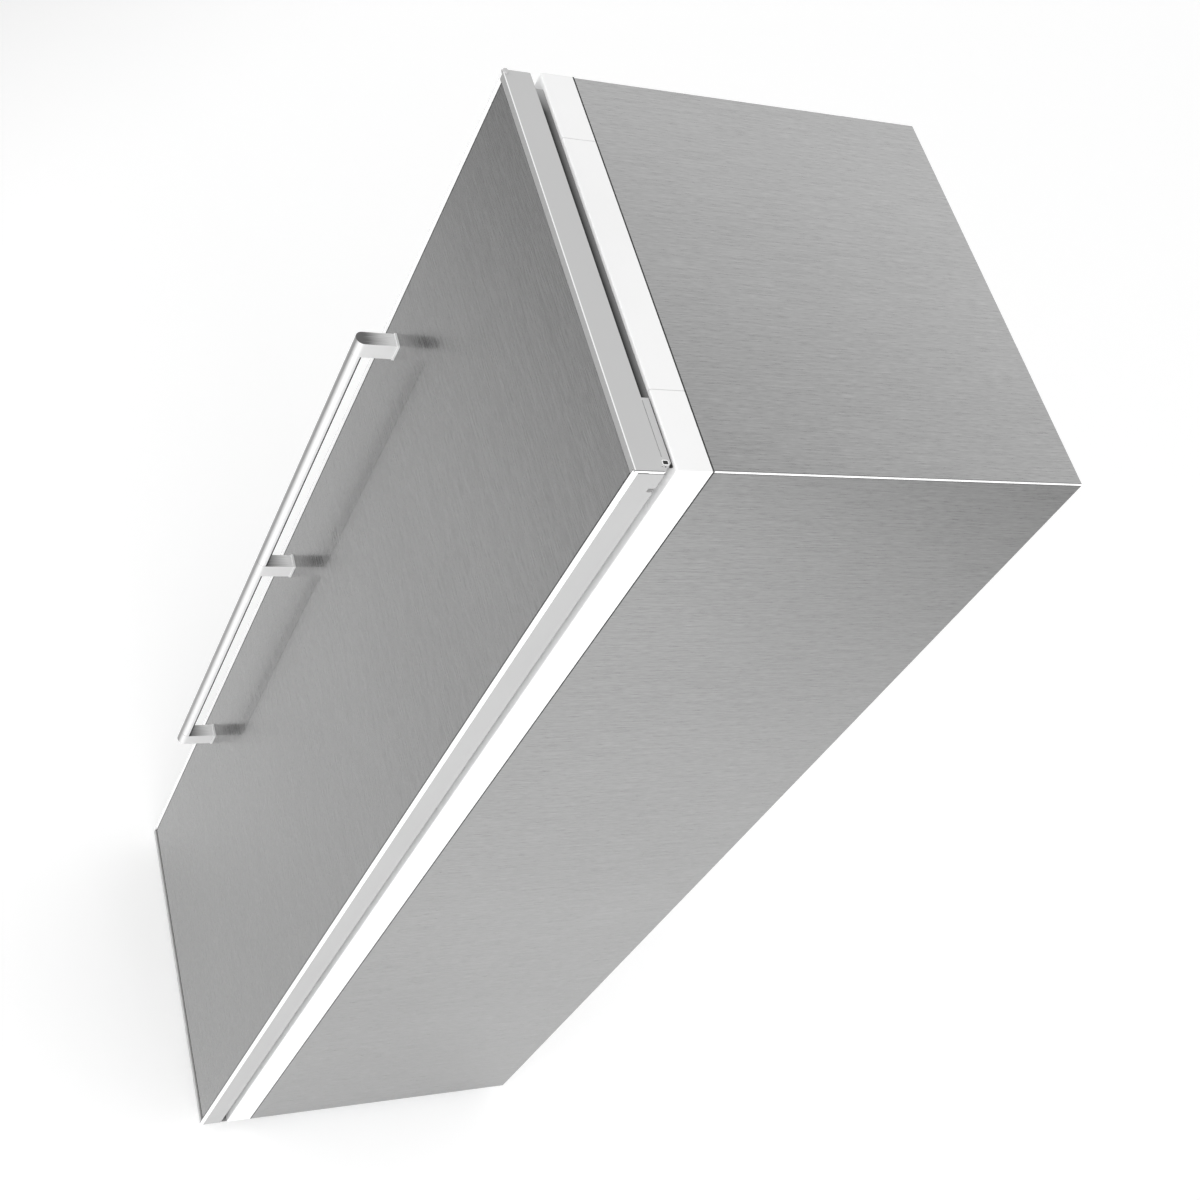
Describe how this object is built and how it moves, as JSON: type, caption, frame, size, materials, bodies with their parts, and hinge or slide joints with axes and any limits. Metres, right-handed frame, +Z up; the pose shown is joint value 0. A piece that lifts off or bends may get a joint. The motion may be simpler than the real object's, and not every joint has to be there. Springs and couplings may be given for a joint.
{
  "type": "upright refrigerator",
  "caption": "Tall free-standing refrigerator with one right-hinged steel door, a long bar handle on the left, glass shelves and door bins inside.",
  "frame": {"origin": "on the floor, under the middle of the whole object with its handle", "axes": "+X right seen from the front, +Y to the back (the door faces -Y), +Z up"},
  "size_m": [0.6, 0.664, 2],
  "materials": {
    "brushed_steel": "satin",
    "handle_steel": "satin",
    "frame_white": "satin",
    "light_grey_trim": "satin",
    "edge_strip": "polished",
    "black_rubber": "matte",
    "seal_grey": "matte",
    "liner_white": "gloss",
    "foam": "matte",
    "back_steel": "satin",
    "bracket_steel": "satin",
    "compressor_black": "satin",
    "black_plastic": "matte",
    "evaporator_aluminium": "matte",
    "lamp_white": "satin",
    "shelf_glass": "gloss",
    "shelf_trim": "satin",
    "clear_plastic": "gloss"
  },
  "bodies": {
    "cabinet": {"side_panel_left": "brushed_steel", "side_panel_right": "brushed_steel", "top_panel": "brushed_steel", "front_frame": "frame_white", "frame_corner_left": "frame_white", "frame_corner_right": "frame_white", "compressor_mounts": "black_rubber", "inner_liner": "liner_white", "air_duct_cover": "liner_white", "control_housing": "liner_white", "insulation_foam": "foam", "back_panel": "back_steel", "base_tray": "back_steel", "machine_cover": "back_steel", "hinge_bracket_top": "bracket_steel", "hinge_bracket_bottom": "bracket_steel", "hinge_pins": "bracket_steel", "hinge_screws": "bracket_steel", "roller_axles": "bracket_steel", "compressor": "compressor_black", "condenser_coil": "compressor_black", "condenser_fan_housing": "black_plastic", "evaporation_tray": "black_plastic", "mains_inlet": "black_plastic", "evaporator_fan_housing": "black_plastic", "evaporator_plate": "evaporator_aluminium", "lamp_lens": "lamp_white", "shelf_glass_1": "shelf_glass", "shelf_glass_2": "shelf_glass", "shelf_glass_3": "shelf_glass", "shelf_glass_4": "shelf_glass", "shelf_glass_5": "shelf_glass", "shelf_trims": "shelf_trim"},
    "door": {"door_front_sheet": "brushed_steel", "door_edge_strips": "edge_strip", "door_side_left": "light_grey_trim", "door_side_right": "light_grey_trim", "door_top_cap": "light_grey_trim", "door_bottom_cap": "light_grey_trim", "door_bottom_strip": "black_rubber", "door_foam": "foam", "door_liner": "liner_white", "door_gasket": "seal_grey", "hinge_bushes": "black_plastic", "handle_bar": "handle_steel", "handle_posts": "handle_steel", "door_bin_1": "clear_plastic", "door_bin_2": "clear_plastic", "dairy_bin": "clear_plastic", "bottle_shelf": "clear_plastic"},
    "dairy_lid": {"dairy_lid": "clear_plastic"},
    "bottle_retainer": {"bottle_retainer": "clear_plastic"},
    "condenser_fan": {"condenser_fan": "black_plastic"},
    "evaporator_fan": {"evaporator_fan": "black_plastic"},
    "thermostat_knob": {"thermostat_knob": "black_plastic"},
    "foot_left": {"foot_left": "black_plastic"},
    "foot_right": {"foot_right": "black_plastic"},
    "roller_left": {"roller_left": "black_plastic"},
    "roller_right": {"roller_right": "black_plastic"}
  },
  "joints": [
    {"name": "door_hinge", "type": "hinge", "parent": "cabinet", "child": "door", "pos_m": [0.29, -0.238, 0], "axis": [0, 0, 1], "range_deg": [0, 110]},
    {"name": "dairy_lid_lift", "type": "hinge", "parent": "door", "child": "dairy_lid", "pos_m": [0, -0.222, 1.736], "axis": [1, 0, 0], "range_deg": [0, 80]},
    {"name": "bottle_retainer_slide", "type": "slide", "parent": "door", "child": "bottle_retainer", "axis": [1, 0, 0], "range_m": [-0.18, 0.18]},
    {"name": "thermostat_turn", "type": "hinge", "parent": "cabinet", "child": "thermostat_knob", "pos_m": [0.08, -0.158, 1.909], "axis": [0, -1, 0], "range_deg": [0, 270]},
    {"name": "condenser_fan_spin", "type": "hinge", "parent": "cabinet", "child": "condenser_fan", "pos_m": [0.018, 0.225, 0.112], "axis": [1, 0, 0], "continuous": true},
    {"name": "evaporator_fan_spin", "type": "hinge", "parent": "cabinet", "child": "evaporator_fan", "pos_m": [0, 0.252, 1.74], "axis": [0, -1, 0], "continuous": true},
    {"name": "roller_left_roll", "type": "hinge", "parent": "cabinet", "child": "roller_left", "pos_m": [-0.255, 0.285, 0.016], "axis": [1, 0, 0], "continuous": true},
    {"name": "roller_right_roll", "type": "hinge", "parent": "cabinet", "child": "roller_right", "pos_m": [0.255, 0.285, 0.016], "axis": [1, 0, 0], "continuous": true},
    {"name": "foot_left_turn", "type": "hinge", "parent": "cabinet", "child": "foot_left", "pos_m": [-0.255, -0.15, 0], "axis": [0, 0, 1], "range_deg": [-720, 720]},
    {"name": "foot_right_turn", "type": "hinge", "parent": "cabinet", "child": "foot_right", "pos_m": [0.255, -0.15, 0], "axis": [0, 0, 1], "range_deg": [-720, 720]}
  ]
}
